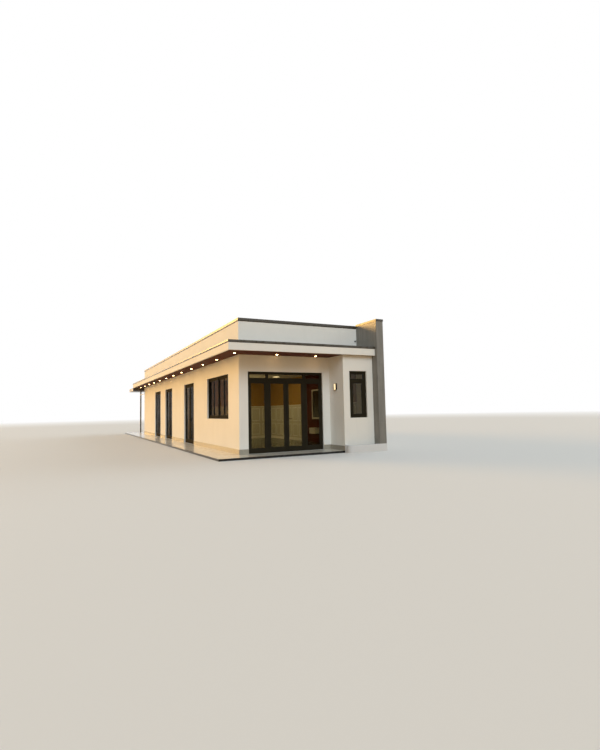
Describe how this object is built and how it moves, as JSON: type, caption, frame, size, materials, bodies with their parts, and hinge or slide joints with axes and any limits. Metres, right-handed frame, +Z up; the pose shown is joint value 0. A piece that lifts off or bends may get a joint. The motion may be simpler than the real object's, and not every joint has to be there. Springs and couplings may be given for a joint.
{
  "type": "bungalow",
  "caption": "Long flat-roofed single-storey house with a wrap-round canopy, a street-side bay, a tiled fin wall and hinged glazed doors.",
  "frame": {"origin": "middle of the footprint, on the ground under the house", "axes": "+Y runs from the street front to the rear, +X to the right along the front, +Z up"},
  "size_m": [6.012, 24.49, 4.67],
  "materials": {
    "render_paint": "matt painted render",
    "roof_screed": "rough cement screed",
    "floor_tile": "polished tile",
    "riser_stone": "polished dark stone",
    "wall_tile": "matt cement-look tile",
    "skirting_tile": "satin tile",
    "coping_paint": "matt dark paint",
    "soffit_wood": "satin stained boards",
    "light_lens": "opal",
    "lamp_lens": "opal",
    "lamp_metal": "matt",
    "frame_metal": "satin powder coat",
    "glass": "clear tinted"
  },
  "bodies": {
    "house": {"floor_slab": "floor_tile", "terrace_riser": "riser_stone", "terrace_paving": "floor_tile", "front_wall_piers": "render_paint", "front_wall_head": "render_paint", "bay_side_wall": "render_paint", "bay_front_wall": "render_paint", "left_wall_front": "render_paint", "left_wall_piers": "render_paint", "left_wall_heads": "render_paint", "right_wall": "render_paint", "rear_wall_piers": "render_paint", "rear_wall_head": "render_paint", "inner_wall": "render_paint", "roof_slab": "roof_screed", "canopy_long_fascia": "render_paint", "canopy_cross_fascias": "render_paint", "canopy_coping": "coping_paint", "soffit_lining": "soffit_wood", "soffit_lights": "light_lens", "long_parapets": "render_paint", "cross_parapets": "render_paint", "long_parapet_copings": "coping_paint", "cross_parapet_copings": "coping_paint", "overflow_spout": "coping_paint", "fin_wall": "wall_tile", "fin_coping": "coping_paint", "planter_kerb": "render_paint", "skirting": "skirting_tile", "front_door_frame": "frame_metal", "front_side_lights": "frame_metal", "front_fixed_glass": "glass", "side_door_frames": "frame_metal", "rear_door": "frame_metal", "rear_door_glass": "glass", "side_window_frame": "frame_metal", "side_window_glass": "glass", "bay_window_frame": "frame_metal", "bay_window_glass": "glass", "wall_lamp": "lamp_metal", "lamp_diffuser": "lamp_lens", "porch_roof": "coping_paint", "porch_posts": "coping_paint"},
    "front_left": {"front_leaf_left": "frame_metal", "front_glass_left": "glass"},
    "front_right": {"front_leaf_right": "frame_metal", "front_glass_right": "glass"},
    "side_1_near": {"side_leaf_1_near": "frame_metal", "side_glass_1_near": "glass"},
    "side_1_far": {"side_leaf_1_far": "frame_metal", "side_glass_1_far": "glass"},
    "side_2_near": {"side_leaf_2_near": "frame_metal", "side_glass_2_near": "glass"},
    "side_2_far": {"side_leaf_2_far": "frame_metal", "side_glass_2_far": "glass"},
    "side_3_near": {"side_leaf_3_near": "frame_metal", "side_glass_3_near": "glass"},
    "side_3_far": {"side_leaf_3_far": "frame_metal", "side_glass_3_far": "glass"}
  },
  "joints": [
    {"name": "front_left_hinge", "type": "hinge", "parent": "house", "child": "front_left", "pos_m": [-0.938, -10.908, 1.27], "axis": [0, 0, -1], "range_deg": [0, 90]},
    {"name": "front_right_hinge", "type": "hinge", "parent": "house", "child": "front_right", "pos_m": [0.426, -10.908, 1.27], "axis": [0, 0, 1], "range_deg": [0, 90]},
    {"name": "side_1_near_hinge", "type": "hinge", "parent": "house", "child": "side_1_near", "pos_m": [-1.959, -4.842, 1.27], "axis": [0, 0, 1], "range_deg": [0, 90]},
    {"name": "side_1_far_hinge", "type": "hinge", "parent": "house", "child": "side_1_far", "pos_m": [-1.959, -3.088, 1.27], "axis": [0, 0, -1], "range_deg": [0, 90]},
    {"name": "side_2_near_hinge", "type": "hinge", "parent": "house", "child": "side_2_near", "pos_m": [-1.959, -0.132, 1.27], "axis": [0, 0, 1], "range_deg": [0, 90]},
    {"name": "side_2_far_hinge", "type": "hinge", "parent": "house", "child": "side_2_far", "pos_m": [-1.959, 1.622, 1.27], "axis": [0, 0, -1], "range_deg": [0, 90]},
    {"name": "side_3_near_hinge", "type": "hinge", "parent": "house", "child": "side_3_near", "pos_m": [-1.959, 3.258, 1.27], "axis": [0, 0, 1], "range_deg": [0, 90]},
    {"name": "side_3_far_hinge", "type": "hinge", "parent": "house", "child": "side_3_far", "pos_m": [-1.959, 5.012, 1.27], "axis": [0, 0, -1], "range_deg": [0, 90]}
  ]
}
